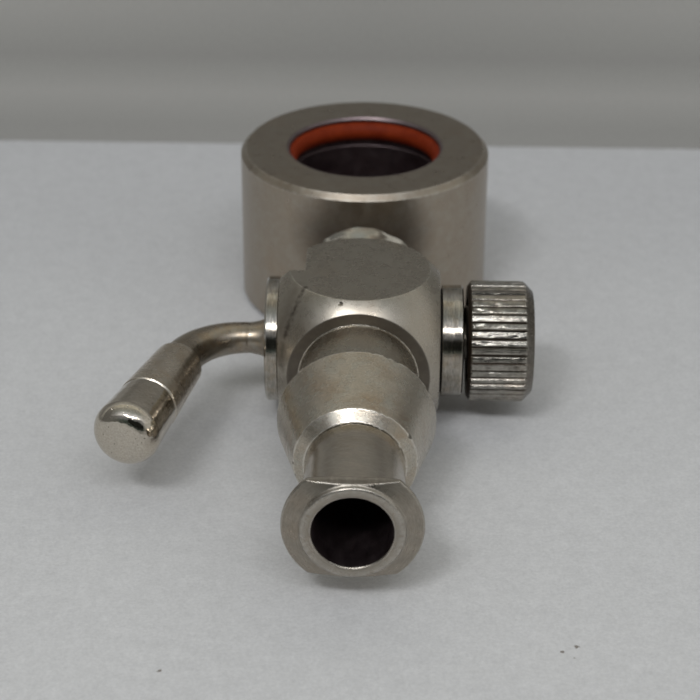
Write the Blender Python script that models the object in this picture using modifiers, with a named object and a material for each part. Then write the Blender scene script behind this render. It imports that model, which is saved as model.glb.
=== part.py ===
"""Lever stopcock on a sealing ring, with a Luer-lock outlet: one named object for each piece.

Frame: metres, +Z up. The origin is the centre of the valve body's lower flat.
The plug's axis (along X) and the flow axis (along Y) cross at AXIS_HEIGHT above it.
The outlet points to -Y, the sealing ring is at +Y, the lever is at -X and the knurled nut at +X.
The lever rests in the open position, in line with the flow.
Sizes below are in millimetres, and heights are counted from the two axes.
"""

import math

import bmesh
import bpy
from mathutils import Matrix, Vector

MM = 0.001
GAP = 0.03  # between pieces that touch
RUNNING = 0.05  # between pieces that turn against each other
FINE, COARSE = 40, 24  # facets round a large and a small turned piece

# Valve body: a ball with six flats, and the flow passage through it
BALL_R = 6.65
FLAT = 5.0
AXIS_HEIGHT = FLAT
PASSAGE_R = 1.5
SOCKET_DEPTH = 1.7

# Taper plug and what sits on its axis, as distances along X
PLUG_R_LEFT, PLUG_R_RIGHT = 2.9, 2.4
DISC_R, DISC_THICK, DISC_EDGE = 3.9, 0.8, 0.12
NOTCH_X, NOTCH_WALL = -3.4, -0.4
PIN_R, PIN_ORBIT = 0.32, 3.4
WASHER_R, WASHER_THICK = 3.25, 0.24
COLLAR_X, COLLAR_THICK, COLLAR_R = 5.31, 1.18, 3.53
KEY_HALF = 1.5
STUD_R, STUD_END = 1.2, 9.9
SPRING_R, SPRING_WIRE, SPRING_TURNS = 2.0, 0.22, 2.5
SEAT_X, SEAT_THICK = 8.1, 0.28
NUT_X, NUT_END, NUT_R, NUT_BORE_R = 6.87, 10.86, 3.81, 2.75
NUT_WALL_X = SEAT_X + SEAT_THICK + GAP
NUT_EDGE = 0.5
KNURL_TEETH, KNURL_DEPTH = 45, 0.24

# Lever: a bent rod, a tapered sleeve and a domed tip
ROD_R, ROOT_R, ROOT_LENGTH, ROD_SPIGOT_R = 0.97, 1.5, 1.3, 0.75
ELBOW_X, BEND_R, LEVER_ANGLE = -10.2, 3.7, math.radians(75)
SLEEVE_START, SLEEVE_LENGTH = 3.45, 5.5
SLEEVE_R0, SLEEVE_R1 = 1.56, 1.85
TIP_CYLINDER, TIP_R0, TIP_R1 = 3.16, 1.82, 2.0
TIP_ROUNDING, TIP_DOME = 1.1, 5.0

# Outlet: screwed cone and Luer hub, as distances from the origin towards -Y
NECK_R, CONE_BACK, CONE_R_BACK = 3.65, 9.9, 4.7
CONE_FRONT, CONE_R_FRONT, CONE_FACE = 14.75, 3.5, 15.15
SPIGOT_R, HUB_SOCKET_R, HUB_SOCKET_END = 2.55, 2.3, 12.6
HUB_R, HUB_TIP, LUER_MOUTH_R, LUER_DEPTH = 2.86, 21.95, 2.15, 7.5
LUER_TAPER = 0.03  # radius lost for each unit of depth
EAR_R, EAR_FLAT, EAR_BACK, EAR_FRONT = 3.9, 2.98, 20.95, 21.75
SEAL_THICK = 0.3

# Sealing ring, with its axis along Z, and the neck that joins it to the body
RING_Y, RING_R, RING_BORE_R = 17.6, 8.65, 5.25
RING_TOP, RING_BASE, RING_EDGE, BORE_EDGE = 5.85, -5.15, 0.37, 0.3
GROOVE_R, GROOVE_TOP, GROOVE_WIDTH = 6.15, 5.46, 1.68
ORING_R, ORING_WIRE = 5.43, 0.64
TUBE_R, TUBE_END = 2.2, 10.6
FERRULE_R0, FERRULE_R1 = 2.75, 3.75

METALS = {
    "satin_nickel": ((0.47, 0.44, 0.40), 0.34, 1.0),
    "polished_nickel": ((0.56, 0.53, 0.49), 0.14, 1.0),
    "spring_steel": ((0.50, 0.50, 0.50), 0.25, 1.0),
    "red_silicone": ((0.45, 0.06, 0.02), 0.45, 0.0),
    "black_ptfe": ((0.02, 0.02, 0.02), 0.50, 0.0),
}


def clear_scene():
    for obj in list(bpy.data.objects):
        bpy.data.objects.remove(obj)


def new_collection(name):
    collection = bpy.data.collections.new(name)
    bpy.context.scene.collection.children.link(collection)
    return collection


def make_material(name):
    colour, roughness, metallic = METALS[name]
    material = bpy.data.materials.new(name)
    material.use_nodes = True
    shader = material.node_tree.nodes["Principled BSDF"]
    shader.inputs["Base Color"].default_value = (*colour, 1.0)
    shader.inputs["Roughness"].default_value = roughness
    shader.inputs["Metallic"].default_value = metallic
    return material


clear_scene()
PARTS = new_collection("lever_stopcock")
CUTTERS = new_collection("cutters")
MATERIALS = {name: make_material(name) for name in METALS}


# ---------------------------------------------------------------- building tools

LIFT = Matrix.Translation((0, 0, AXIS_HEIGHT * MM))
ALONG_Z = Matrix.Identity(4)
ALONG_X = Matrix.Rotation(math.radians(90), 4, "Y")
TOWARDS_OUTLET = Matrix.Rotation(math.radians(90), 4, "X")
TOWARDS_RING = Matrix.Rotation(math.radians(-90), 4, "X")


def place(name, data, material=None, matrix=ALONG_Z):
    """A part if it has a material, otherwise a cutter."""
    obj = bpy.data.objects.new(name, data)
    obj.matrix_world = LIFT @ matrix
    if material:
        PARTS.objects.link(obj)
        data.materials.append(MATERIALS[material])
    else:
        CUTTERS.objects.link(obj)
        obj.hide_render = True
        obj.display_type = "WIRE"
    return obj


def turned(name, profile, material=None, matrix=ALONG_Z, facets=FINE):
    """A profile of (radius, height) pairs turned round the local Z axis.

    The pairs run outwards over the top, down the outside and back over the bottom.
    A profile that starts and ends on the axis makes a solid, any other makes a bored piece.
    """
    on_axis = profile[0][0] == 0 and profile[-1][0] == 0
    mesh = bpy.data.meshes.new(name)
    points = [(r * MM, 0, h * MM) for r, h in profile]
    edges = [(i, i + 1) for i in range(len(points) - 1)]
    if not on_axis:
        edges.append((len(points) - 1, 0))
    mesh.from_pydata(points, edges, [])
    obj = place(name, mesh, material, matrix)
    screw = obj.modifiers.new("turn", "SCREW")
    screw.steps = screw.render_steps = facets
    screw.use_merge_vertices = True
    screw.merge_threshold = 1e-6
    screw.use_smooth_shade = True
    return obj


def rod_cutter(name, radius, start, end, matrix, facets=COARSE):
    return turned(name, [(0, end), (radius, end), (radius, start), (0, start)], None, matrix, facets)


def block(name, low, high):
    """A box cutter between two corners."""
    shape = bmesh.new()
    bmesh.ops.create_cube(shape, size=1)
    size = Vector(high) - Vector(low)
    bmesh.ops.scale(shape, vec=size * MM, verts=shape.verts)
    bmesh.ops.translate(shape, vec=(Vector(low) + Vector(high)) / 2 * MM, verts=shape.verts)
    mesh = bpy.data.meshes.new(name)
    shape.to_mesh(mesh)
    shape.free()
    return place(name, mesh)


def boolean(obj, operation, *others):
    for other in others:
        modifier = obj.modifiers.new(other.name, "BOOLEAN")
        modifier.operation = operation
        modifier.object = other
        modifier.solver = "EXACT"


def torus(name, ring_radius, wire_radius, centre, material):
    bpy.ops.mesh.primitive_torus_add(
        major_radius=ring_radius * MM,
        minor_radius=wire_radius * MM,
        major_segments=FINE,
        minor_segments=10,
    )
    obj = bpy.context.object
    obj.name = name
    obj.matrix_world = LIFT @ Matrix.Translation(Vector(centre) * MM)
    obj.data.materials.append(MATERIALS[material])
    obj.data.shade_smooth()
    for collection in list(obj.users_collection):
        collection.objects.unlink(obj)
    PARTS.objects.link(obj)
    return obj


def wire(name, points, radii, material, resolution=2):
    """A round wire along a list of points, each with its own radius."""
    curve = bpy.data.curves.new(name, "CURVE")
    curve.dimensions = "3D"
    curve.bevel_depth = MM
    curve.bevel_resolution = resolution
    curve.use_fill_caps = True
    spline = curve.splines.new("POLY")
    spline.points.add(len(points) - 1)
    for slot, point, radius in zip(spline.points, points, radii):
        slot.co = (*(Vector(point) * MM), 1)
        slot.radius = radius
    return place(name, curve, material)


def plug_radius(x):
    """Radius of the taper plug at a distance x along its axis."""
    share = (x + FLAT) / (2 * FLAT)
    return PLUG_R_LEFT + (PLUG_R_RIGHT - PLUG_R_LEFT) * share


# ---------------------------------------------------------------- fixed pieces


def ball_body():
    bpy.ops.mesh.primitive_uv_sphere_add(segments=FINE, ring_count=FINE // 2, radius=BALL_R * MM)
    body = bpy.context.object
    body.name = "valve_body"
    body.matrix_world = LIFT
    body.data.materials.append(MATERIALS["satin_nickel"])
    for collection in list(body.users_collection):
        collection.objects.unlink(body)
    PARTS.objects.link(body)
    boolean(body, "INTERSECT", block("six_flats", (-FLAT,) * 3, (FLAT,) * 3))
    reach = FLAT + 1
    taper = turned(
        "taper_bore",
        [
            (0, reach),
            (plug_radius(reach) + RUNNING, reach),
            (plug_radius(-reach) + RUNNING, -reach),
            (0, -reach),
        ],
        None,
        ALONG_X,
    )
    floor = FLAT - SOCKET_DEPTH
    outlet_socket = rod_cutter("outlet_socket", SPIGOT_R + GAP, floor, reach, TOWARDS_OUTLET)
    neck_socket = rod_cutter("neck_socket", TUBE_R + GAP, floor, reach, TOWARDS_RING)
    passage = rod_cutter("body_passage", PASSAGE_R, -reach, reach, TOWARDS_OUTLET)
    # The lug of the lever disc swings in this relief, from straight up to the ring side.
    relief = block("stop_relief", (-reach, NOTCH_WALL, NOTCH_WALL), (NOTCH_X, BALL_R, BALL_R))
    boolean(body, "DIFFERENCE", taper, outlet_socket, neck_socket, passage, relief)


def outlet():
    floor = FLAT - SOCKET_DEPTH + GAP
    seal_end = floor + SEAL_THICK
    turned(
        "outlet_seal",
        [(PASSAGE_R, seal_end), (SPIGOT_R - GAP, seal_end), (SPIGOT_R - GAP, floor), (PASSAGE_R, floor)],
        "black_ptfe",
        TOWARDS_OUTLET,
        COARSE,
    )
    turned(
        "outlet_cone",
        [
            (HUB_SOCKET_R, CONE_FACE),
            (HUB_R, CONE_FACE),
            (CONE_R_FRONT, CONE_FRONT),
            (CONE_R_BACK, CONE_BACK + 0.15),
            (CONE_R_BACK - 0.15, CONE_BACK),
            (NECK_R, CONE_BACK),
            (NECK_R, FLAT + GAP),
            (SPIGOT_R, FLAT + GAP),
            (SPIGOT_R, seal_end + GAP),
            (PASSAGE_R, seal_end + GAP),
            (PASSAGE_R, HUB_SOCKET_END),
            (HUB_SOCKET_R, HUB_SOCKET_END),
        ],
        "satin_nickel",
        TOWARDS_OUTLET,
    )


def luer_hub():
    luer_end_r = LUER_MOUTH_R - LUER_TAPER * LUER_DEPTH
    hub = turned(
        "luer_hub",
        [
            (LUER_MOUTH_R, HUB_TIP - 0.15),
            (LUER_MOUTH_R + 0.12, HUB_TIP),
            (HUB_R - 0.1, HUB_TIP),
            (HUB_R, HUB_TIP - 0.1),
            (HUB_R, EAR_FRONT),
            (EAR_R - 0.1, EAR_FRONT),
            (EAR_R, EAR_FRONT - 0.1),
            (EAR_R, EAR_BACK + 0.25),
            (EAR_R - 0.45, EAR_BACK),
            (HUB_R, EAR_BACK),
            (HUB_R, CONE_FACE + GAP),
            (HUB_SOCKET_R - GAP, CONE_FACE + GAP),
            (HUB_SOCKET_R - GAP, HUB_SOCKET_END + GAP),
            (PASSAGE_R, HUB_SOCKET_END + GAP),
            (PASSAGE_R, HUB_TIP - LUER_DEPTH),
            (luer_end_r, HUB_TIP - LUER_DEPTH),
        ],
        "satin_nickel",
        TOWARDS_OUTLET,
    )
    for side, name in ((1, "ear_flat_top"), (-1, "ear_flat_bottom")):
        near, far = sorted((side * EAR_FLAT, side * (EAR_R + 1)))
        flat = block(name, (-EAR_R, -HUB_TIP, near), (EAR_R, -EAR_BACK + 0.5, far))
        boolean(hub, "DIFFERENCE", flat)


def sealing_ring():
    middle = (RING_TOP + RING_BASE) / 2

    def mirrored(height):
        return 2 * middle - height

    upper_half = [
        (RING_BORE_R, GROOVE_TOP),
        (RING_BORE_R, RING_TOP - BORE_EDGE),
        (RING_BORE_R + BORE_EDGE, RING_TOP),
        (RING_R - RING_EDGE, RING_TOP),
        (RING_R, RING_TOP - RING_EDGE),
    ]
    upper_groove = [
        (RING_BORE_R, GROOVE_TOP - GROOVE_WIDTH),
        (GROOVE_R, GROOVE_TOP - GROOVE_WIDTH),
        (GROOVE_R, GROOVE_TOP),
    ]
    lower_half = [(r, mirrored(h)) for r, h in reversed(upper_half)]
    lower_groove = [(r, mirrored(h)) for r, h in reversed(upper_groove)]
    centre = Matrix.Translation((0, RING_Y * MM, 0))
    ring = turned(
        "collar_ring",
        upper_half + lower_half + lower_groove + upper_groove,
        "satin_nickel",
        centre,
        48,
    )
    side_socket = rod_cutter("side_socket", TUBE_R + GAP, RING_Y - RING_R - 1, TUBE_END + GAP, TOWARDS_RING)
    side_port = rod_cutter("side_port", PASSAGE_R, RING_Y - RING_R, RING_Y, TOWARDS_RING)
    boolean(ring, "DIFFERENCE", side_socket, side_port)
    seal_height = GROOVE_TOP - GAP - ORING_WIRE
    torus("upper_bore_seal", ORING_R, ORING_WIRE, (0, RING_Y, seal_height), "red_silicone")
    torus("lower_bore_seal", ORING_R, ORING_WIRE, (0, RING_Y, mirrored(seal_height)), "red_silicone")


def neck():
    start = FLAT - SOCKET_DEPTH + GAP
    turned(
        "neck_tube",
        [(PASSAGE_R, TUBE_END), (TUBE_R, TUBE_END), (TUBE_R, start), (PASSAGE_R, start)],
        "satin_nickel",
        TOWARDS_RING,
        COARSE,
    )
    # The ferrule flares like a trumpet and is coped to the round side of the ring.
    near, far = FLAT + GAP, RING_Y - RING_R + 0.9
    steps = 5
    flare = []
    for i in range(steps + 1):
        share = i / steps
        radius = FERRULE_R0 + (FERRULE_R1 - FERRULE_R0) * share**2
        flare.append((radius, near + (far - near) * share))
    inner = TUBE_R + GAP
    ferrule = turned(
        "neck_ferrule",
        [(inner, far)] + flare[::-1] + [(inner, near)],
        "polished_nickel",
        TOWARDS_RING,
        32,
    )
    cope = rod_cutter(
        "ferrule_cope",
        RING_R + GAP,
        RING_BASE - 1,
        RING_TOP + 1,
        Matrix.Translation((0, RING_Y * MM, 0)),
        96,
    )
    boolean(ferrule, "DIFFERENCE", cope)


# ---------------------------------------------------------------- pieces that turn with the lever


def plug():
    disc_face = -FLAT - GAP
    left = disc_face + GAP
    stub_end = STUD_END
    key_end = COLLAR_X + COLLAR_THICK
    key_corner = KEY_HALF * 1.3
    hole_end = -3.4
    body = turned(
        "plug",
        [
            (0, stub_end),
            (STUD_R - 0.15, stub_end),
            (STUD_R, stub_end - 0.15),
            (STUD_R, key_end),
            (key_corner, key_end),
            (key_corner, FLAT),
            (plug_radius(FLAT), FLAT),
            (plug_radius(left), left),
            (ROD_SPIGOT_R + GAP, left),
            (ROD_SPIGOT_R + GAP, hole_end),
            (0, hole_end),
        ],
        "polished_nickel",
        ALONG_X,
        32,
    )
    for turn in range(4):
        side = block(
            f"key_flat_{turn}",
            (FLAT + 0.05, KEY_HALF, -KEY_HALF * 2),
            (key_end + 0.05, KEY_HALF * 2, KEY_HALF * 2),
        )
        side.matrix_world = LIFT @ Matrix.Rotation(turn * math.pi / 2, 4, "X")
        boolean(body, "DIFFERENCE", side)
    port = rod_cutter("plug_port", PASSAGE_R, -BALL_R, BALL_R, TOWARDS_OUTLET)
    boolean(body, "DIFFERENCE", port)


def lever_disc():
    inside = -FLAT - GAP
    outside = inside - DISC_THICK
    hole = ROD_SPIGOT_R + GAP
    turned(
        "lever_disc",
        [
            (hole, inside),
            (DISC_R, inside),
            (DISC_R, outside + DISC_EDGE),
            (DISC_R - DISC_EDGE, outside),
            (hole, outside),
        ],
        "polished_nickel",
        ALONG_X,
    )
    start, end = inside + GAP, NOTCH_X - 0.25
    turned(
        "stop_lug",
        [(0, end), (PIN_R, end), (PIN_R, start), (0, start)],
        "polished_nickel",
        Matrix.Translation((0, 0, PIN_ORBIT * MM)) @ ALONG_X,
        16,
    )


def lever_direction():
    """Unit vector along the handle, from the elbow to the tip."""
    return Vector((-math.cos(LEVER_ANGLE), -math.sin(LEVER_ANGLE), 0))


def lever_arm():
    face = -FLAT - GAP - DISC_THICK - GAP
    tangent = BEND_R * math.tan(LEVER_ANGLE / 2)
    elbow = Vector((ELBOW_X, 0, 0))
    along = lever_direction()
    spigot_end = -3.5
    points = [(spigot_end, 0, 0), (face + 0.02, 0, 0)]
    radii = [ROD_SPIGOT_R, ROD_SPIGOT_R]
    root_steps = 5
    for i in range(root_steps + 1):
        share = i / root_steps
        points.append((face - ROOT_LENGTH * share**2, 0, 0))
        flare = 1 - math.sqrt(1 - (1 - share**2) ** 2)
        radii.append(ROD_R + (ROOT_R - ROD_R) * flare)
    bend_steps = 9
    centre = Vector((ELBOW_X + tangent, -BEND_R, 0))
    for i in range(bend_steps + 1):
        angle = LEVER_ANGLE * i / bend_steps
        points.append(centre + BEND_R * Vector((-math.sin(angle), math.cos(angle), 0)))
        radii.append(ROD_R)
    sleeve_end = SLEEVE_START + SLEEVE_LENGTH
    points += [elbow + along * sleeve_end, elbow + along * (sleeve_end + 1.6)]
    radii += [ROD_R, ROD_R]
    wire("lever_arm", points, radii, "satin_nickel", 3)


def lever_grip():
    """The sleeve slides over the rod, and the domed tip screws on and holds it."""
    along = lever_direction()
    frame = along.to_track_quat("Z", "Y").to_matrix().to_4x4()
    elbow = Vector((ELBOW_X, 0, 0)) * MM
    bore = ROD_R + GAP
    start = Matrix.Translation(elbow + along * SLEEVE_START * MM) @ frame
    turned(
        "lever_sleeve",
        [
            (bore, SLEEVE_LENGTH),
            (SLEEVE_R1 - 0.08, SLEEVE_LENGTH),
            (SLEEVE_R1, SLEEVE_LENGTH - 0.08),
            (SLEEVE_R0, 0.35),
            (SLEEVE_R0 - 0.3, 0),
            (bore, 0),
        ],
        "satin_nickel",
        start,
        COARSE,
    )
    joint = Matrix.Translation(elbow + along * (SLEEVE_START + SLEEVE_LENGTH + GAP) * MM) @ frame
    # A shallow dome runs into a rounding of smaller radius, and that into the cylinder.
    from_axis = TIP_R1 - TIP_ROUNDING
    blend = math.asin(from_axis / (TIP_DOME - TIP_ROUNDING))
    dome_centre = TIP_CYLINDER - (TIP_DOME - TIP_ROUNDING) * math.cos(blend)
    dome = [(0, dome_centre + TIP_DOME)]
    dome.append((TIP_DOME * math.sin(blend / 2), dome_centre + TIP_DOME * math.cos(blend / 2)))
    arc_steps = 5
    for i in range(arc_steps + 1):
        angle = blend + (math.pi / 2 - blend) * i / arc_steps
        radius = from_axis + TIP_ROUNDING * math.sin(angle)
        dome.append((radius, TIP_CYLINDER + TIP_ROUNDING * math.cos(angle)))
    hole = ROD_R + GAP
    turned(
        "lever_tip",
        dome + [(TIP_R0, 0.08), (TIP_R0 - 0.08, 0), (hole, 0), (hole, 1.7), (0, 1.7)],
        "polished_nickel",
        joint,
        COARSE,
    )


# ---------------------------------------------------------------- spring, collar and nut


def spring_stack():
    washer_x = FLAT + GAP
    turned(
        "thrust_washer",
        [
            (plug_radius(FLAT) + RUNNING, washer_x + WASHER_THICK),
            (WASHER_R, washer_x + WASHER_THICK),
            (WASHER_R, washer_x),
            (plug_radius(FLAT) + RUNNING, washer_x),
        ],
        "black_ptfe",
        ALONG_X,
        32,
    )
    collar_end = COLLAR_X + COLLAR_THICK
    collar = turned(
        "keyed_collar",
        [
            (0, collar_end),
            (COLLAR_R - 0.15, collar_end),
            (COLLAR_R, collar_end - 0.15),
            (COLLAR_R, COLLAR_X + 0.05),
            (COLLAR_R - 0.05, COLLAR_X),
            (0, COLLAR_X),
        ],
        "polished_nickel",
        ALONG_X,
    )
    half = KEY_HALF + GAP
    key_hole = block("collar_key_hole", (COLLAR_X - 1, -half, -half), (collar_end + 1, half, half))
    corners = rod_cutter(
        "collar_key_round", KEY_HALF * 1.3 + GAP, COLLAR_X - 1, collar_end + 1, ALONG_X
    )
    boolean(key_hole, "INTERSECT", corners)
    boolean(collar, "DIFFERENCE", key_hole)
    seat_bore = STUD_R + GAP
    turned(
        "spring_seat",
        [
            (seat_bore, SEAT_X + SEAT_THICK),
            (SPRING_R + 0.5, SEAT_X + SEAT_THICK),
            (SPRING_R + 0.5, SEAT_X),
            (seat_bore, SEAT_X),
        ],
        "spring_steel",
        ALONG_X,
        COARSE,
    )
    start = collar_end + GAP + SPRING_WIRE
    end = SEAT_X - GAP - SPRING_WIRE
    steps = int(SPRING_TURNS * 12)
    points = []
    for i in range(steps + 1):
        angle = 2 * math.pi * SPRING_TURNS * i / steps
        x = start + (end - start) * i / steps
        points.append((x, SPRING_R * math.cos(angle), SPRING_R * math.sin(angle)))
    wire("spring", points, [SPRING_WIRE] * len(points), "spring_steel", 1)


def knurl_outline():
    """A 2D outline of V grooves round a circle, extruded to the nut's length."""
    curve = bpy.data.curves.new("knurl_outline", "CURVE")
    curve.dimensions = "2D"
    curve.fill_mode = "BOTH"
    curve.extrude = (NUT_END - NUT_X + 1) / 2 * MM
    spline = curve.splines.new("POLY")
    radii = (NUT_R, NUT_R, NUT_R - KNURL_DEPTH)
    offsets = (-0.22, 0.22, 0.5)
    spline.points.add(KNURL_TEETH * len(radii) - 1)
    for tooth in range(KNURL_TEETH):
        for k, (radius, offset) in enumerate(zip(radii, offsets)):
            angle = 2 * math.pi * (tooth + offset) / KNURL_TEETH
            point = spline.points[tooth * len(radii) + k]
            point.co = (radius * math.cos(angle) * MM, radius * math.sin(angle) * MM, 0, 1)
    spline.use_cyclic_u = True
    return curve


def knurled_nut():
    middle = (NUT_X + NUT_END) / 2
    curve_object = place("knurl_curve", knurl_outline())
    bpy.context.view_layer.update()
    graph = bpy.context.evaluated_depsgraph_get()
    mesh = bpy.data.meshes.new_from_object(curve_object.evaluated_get(graph))
    bpy.data.objects.remove(curve_object)
    shape = bmesh.new()
    shape.from_mesh(mesh)
    bmesh.ops.remove_doubles(shape, verts=shape.verts, dist=1e-6)
    bmesh.ops.recalc_face_normals(shape, faces=shape.faces)
    shape.to_mesh(mesh)
    shape.free()
    knurl = place("knurl_bar", mesh, None, Matrix.Translation((middle * MM, 0, 0)) @ ALONG_X)
    hole = STUD_R + GAP
    thread_end = STUD_END + 0.35
    nut = turned(
        "knurled_nut",
        [
            (0, NUT_END),
            (NUT_R + 0.02 - NUT_EDGE, NUT_END),
            (NUT_R + 0.02, NUT_END - NUT_EDGE),
            (NUT_R + 0.02, NUT_X + 0.2),
            (NUT_R - 0.3, NUT_X),
            (NUT_BORE_R, NUT_X),
            (NUT_BORE_R, NUT_WALL_X),
            (hole, NUT_WALL_X),
            (hole, thread_end),
            (0, thread_end),
        ],
        "polished_nickel",
        ALONG_X,
        KNURL_TEETH,
    )
    boolean(nut, "INTERSECT", knurl)


ball_body()
outlet()
luer_hub()
sealing_ring()
neck()
plug()
lever_disc()
lever_arm()
lever_grip()
spring_stack()
knurled_nut()
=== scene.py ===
"""Looks of the lever stopcock: finished pieces, metals, rubber, a pale table and soft light.

Lengths are in millimetres and turned into metres by MM. Every turned piece is built round its own Z axis.
Its vertices carry "along", the distance along its outline, and "wear", 1 on an exposed edge. The nut's
vertices also carry "dirt_and_shade", dirt with painted shade: 1 at the bottom of a groove.
"""

import math
import random

import bmesh
import bpy
from mathutils import Matrix, Vector, noise


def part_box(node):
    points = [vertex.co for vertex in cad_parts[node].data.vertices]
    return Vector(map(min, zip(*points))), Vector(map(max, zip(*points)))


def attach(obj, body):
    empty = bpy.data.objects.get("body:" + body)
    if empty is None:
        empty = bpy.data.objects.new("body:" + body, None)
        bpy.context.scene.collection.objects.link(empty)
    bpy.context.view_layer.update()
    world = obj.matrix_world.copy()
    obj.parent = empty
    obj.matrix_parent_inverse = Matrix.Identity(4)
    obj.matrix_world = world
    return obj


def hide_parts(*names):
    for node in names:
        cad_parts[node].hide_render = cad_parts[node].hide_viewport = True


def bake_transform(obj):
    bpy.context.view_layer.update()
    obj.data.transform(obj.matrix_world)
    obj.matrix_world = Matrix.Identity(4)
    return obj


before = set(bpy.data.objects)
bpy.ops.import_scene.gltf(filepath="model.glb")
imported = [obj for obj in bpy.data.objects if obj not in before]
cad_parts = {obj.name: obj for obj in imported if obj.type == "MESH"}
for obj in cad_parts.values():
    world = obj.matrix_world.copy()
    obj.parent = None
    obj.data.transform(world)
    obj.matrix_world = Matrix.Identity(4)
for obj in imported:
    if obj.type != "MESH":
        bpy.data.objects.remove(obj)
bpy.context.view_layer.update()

MM = 0.001
PLUG_LOW, PLUG_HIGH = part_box("plug")
AXIS_Z = (PLUG_LOW.z + PLUG_HIGH.z) / 2 / MM
RING_LOW, RING_HIGH = (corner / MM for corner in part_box("collar_ring"))
RING_Y = (RING_LOW.y + RING_HIGH.y) / 2
RING_R = (RING_HIGH.y - RING_LOW.y) / 2

# Local frames: local Z becomes the named direction, with the origin on the plug's axis
CENTRE = Matrix.Translation((0, 0, AXIS_Z * MM))
ALONG_X = CENTRE @ Matrix.Rotation(math.radians(90), 4, "Y")
TO_OUTLET = CENTRE @ Matrix.Rotation(math.radians(90), 4, "X")
TO_RING = CENTRE @ Matrix.Rotation(math.radians(-90), 4, "X")
IN_RING = Matrix.Translation((0, RING_Y * MM, 0))


# ---------------------------------------------------------------- node trees


class Tree:
    """Short calls for building a node tree."""

    def __init__(self, tree):
        self.tree = tree
        tree.nodes.clear()

    def add(self, kind, inputs=None, **settings):
        node = self.tree.nodes.new(kind)
        for key, value in settings.items():
            setattr(node, key, value)
        for key, value in (inputs or {}).items():
            self.plug(node.inputs[key], value)
        return node

    def plug(self, socket, value):
        if isinstance(value, bpy.types.NodeSocket):
            self.tree.links.new(value, socket)
        elif isinstance(value, bpy.types.Node):
            self.tree.links.new(value.outputs[0], socket)
        else:
            socket.default_value = value

    def math(self, operation, a, b=0.0, clamp=False):
        return self.add("ShaderNodeMath", {0: a, 1: b}, operation=operation, use_clamp=clamp).outputs[0]

    def ramp(self, value, low, high, to_low=0.0, to_high=1.0):
        node = self.add(
            "ShaderNodeMapRange",
            {"Value": value, "From Min": low, "From Max": high, "To Min": to_low, "To Max": to_high},
        )
        return node.outputs[0]

    def mix(self, share, a, b, blend="MIX"):
        node = self.add("ShaderNodeMix", data_type="RGBA", blend_type=blend)
        self.plug(node.inputs["Factor"], share)
        self.plug(node.inputs[6], a)
        self.plug(node.inputs[7], b)
        return node.outputs[2]

    def noise(self, vector, scale, detail=3.0, roughness=0.5):
        inputs = {"Vector": vector, "Scale": scale, "Detail": detail, "Roughness": roughness}
        return self.add("ShaderNodeTexNoise", inputs).outputs[0]

    def distance(self, vector, point):
        node = self.add("ShaderNodeVectorMath", {0: vector, 1: point}, operation="DISTANCE")
        return node.outputs["Value"]

    def dot(self, a, b):
        node = self.add("ShaderNodeVectorMath", {0: a, 1: b}, operation="DOT_PRODUCT")
        return node.outputs["Value"]

    def attribute(self, name):
        return self.add("ShaderNodeAttribute", attribute_name=name).outputs["Fac"]


def new_material(name):
    """A material with an empty tree, and its object coordinates in millimetres."""
    material = bpy.data.materials.new(name)
    material.use_nodes = True
    t = Tree(material.node_tree)
    coords = t.add("ShaderNodeTexCoord").outputs["Object"]
    mm = t.add("ShaderNodeVectorMath", {0: coords, 3: 1 / MM}, operation="SCALE").outputs[0]
    return material, t, mm


def finish_material(t, shader):
    t.add("ShaderNodeOutputMaterial", {"Surface": shader})


def rgb(r, g, b):
    return (r, g, b, 1.0)


NICKEL = rgb(0.600, 0.545, 0.465)
BRIGHT = rgb(0.760, 0.720, 0.650)
STAIN = rgb(0.400, 0.310, 0.220)
GREY_FILM = rgb(0.500, 0.490, 0.440)
# Dark brown for dirt and painted shade.
GRIME_AND_SHADE = rgb(0.050, 0.036, 0.026)
GOLD = rgb(0.420, 0.290, 0.150)
DUST = rgb(0.62, 0.52, 0.45)


ACROSS_LINES = 0.12  # turning lines are this much longer round a piece than along its outline
DRAWN_OUT = 0.07  # and drawn streaks this much longer along it


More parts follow.
